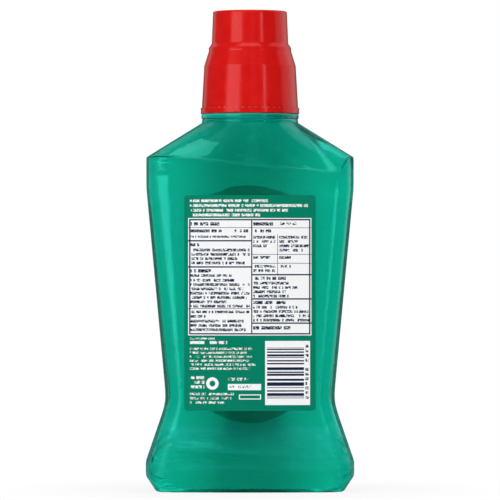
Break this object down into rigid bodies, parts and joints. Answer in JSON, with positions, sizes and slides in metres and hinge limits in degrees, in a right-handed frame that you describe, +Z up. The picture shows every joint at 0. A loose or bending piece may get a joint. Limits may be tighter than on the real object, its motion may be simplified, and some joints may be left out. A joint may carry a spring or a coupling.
{
  "type": "mouthwash bottle",
  "caption": "Waisted oblong mouthwash bottle with a moulded neck, its filling, a screw-on dosing cap with liner and shrink band, and film labels.",
  "frame": {"origin": "middle of the bottle's foot, on the surface it stands on, under the neck's axis", "axes": "+Z up along the neck's axis, +X across the width of the body, -Y out of the back label"},
  "size_m": [0.109, 0.065, 0.2499],
  "materials": {
    "clear_plastic": "gloss",
    "liquid": "gloss",
    "label_film": "satin",
    "band_film": "gloss",
    "liner_foam": "matte",
    "cap_plastic": "satin"
  },
  "bodies": {
    "bottle": {"bottle": "clear_plastic", "mouthwash": "liquid", "back_label": "label_film", "front_label": "label_film", "tamper_ring": "band_film"},
    "liner": {"cap_liner": "liner_foam"},
    "cap": {"cap": "cap_plastic", "cap_sleeve": "band_film"}
  },
  "joints": [
    {"name": "cap_lift", "type": "slide", "parent": "bottle", "child": "liner", "axis": [0, 0, 1], "range_m": [0, 0.02701]},
    {"name": "cap_turn", "type": "hinge", "parent": "liner", "child": "cap", "pos_m": [0, 0, 0.22], "axis": [0, 0, 1], "range_deg": [0, 1080]}
  ],
  "couplings": [
    {"joint": "cap_lift", "follows": "cap_turn", "m_per_rad": 0.0014324}
  ]
}
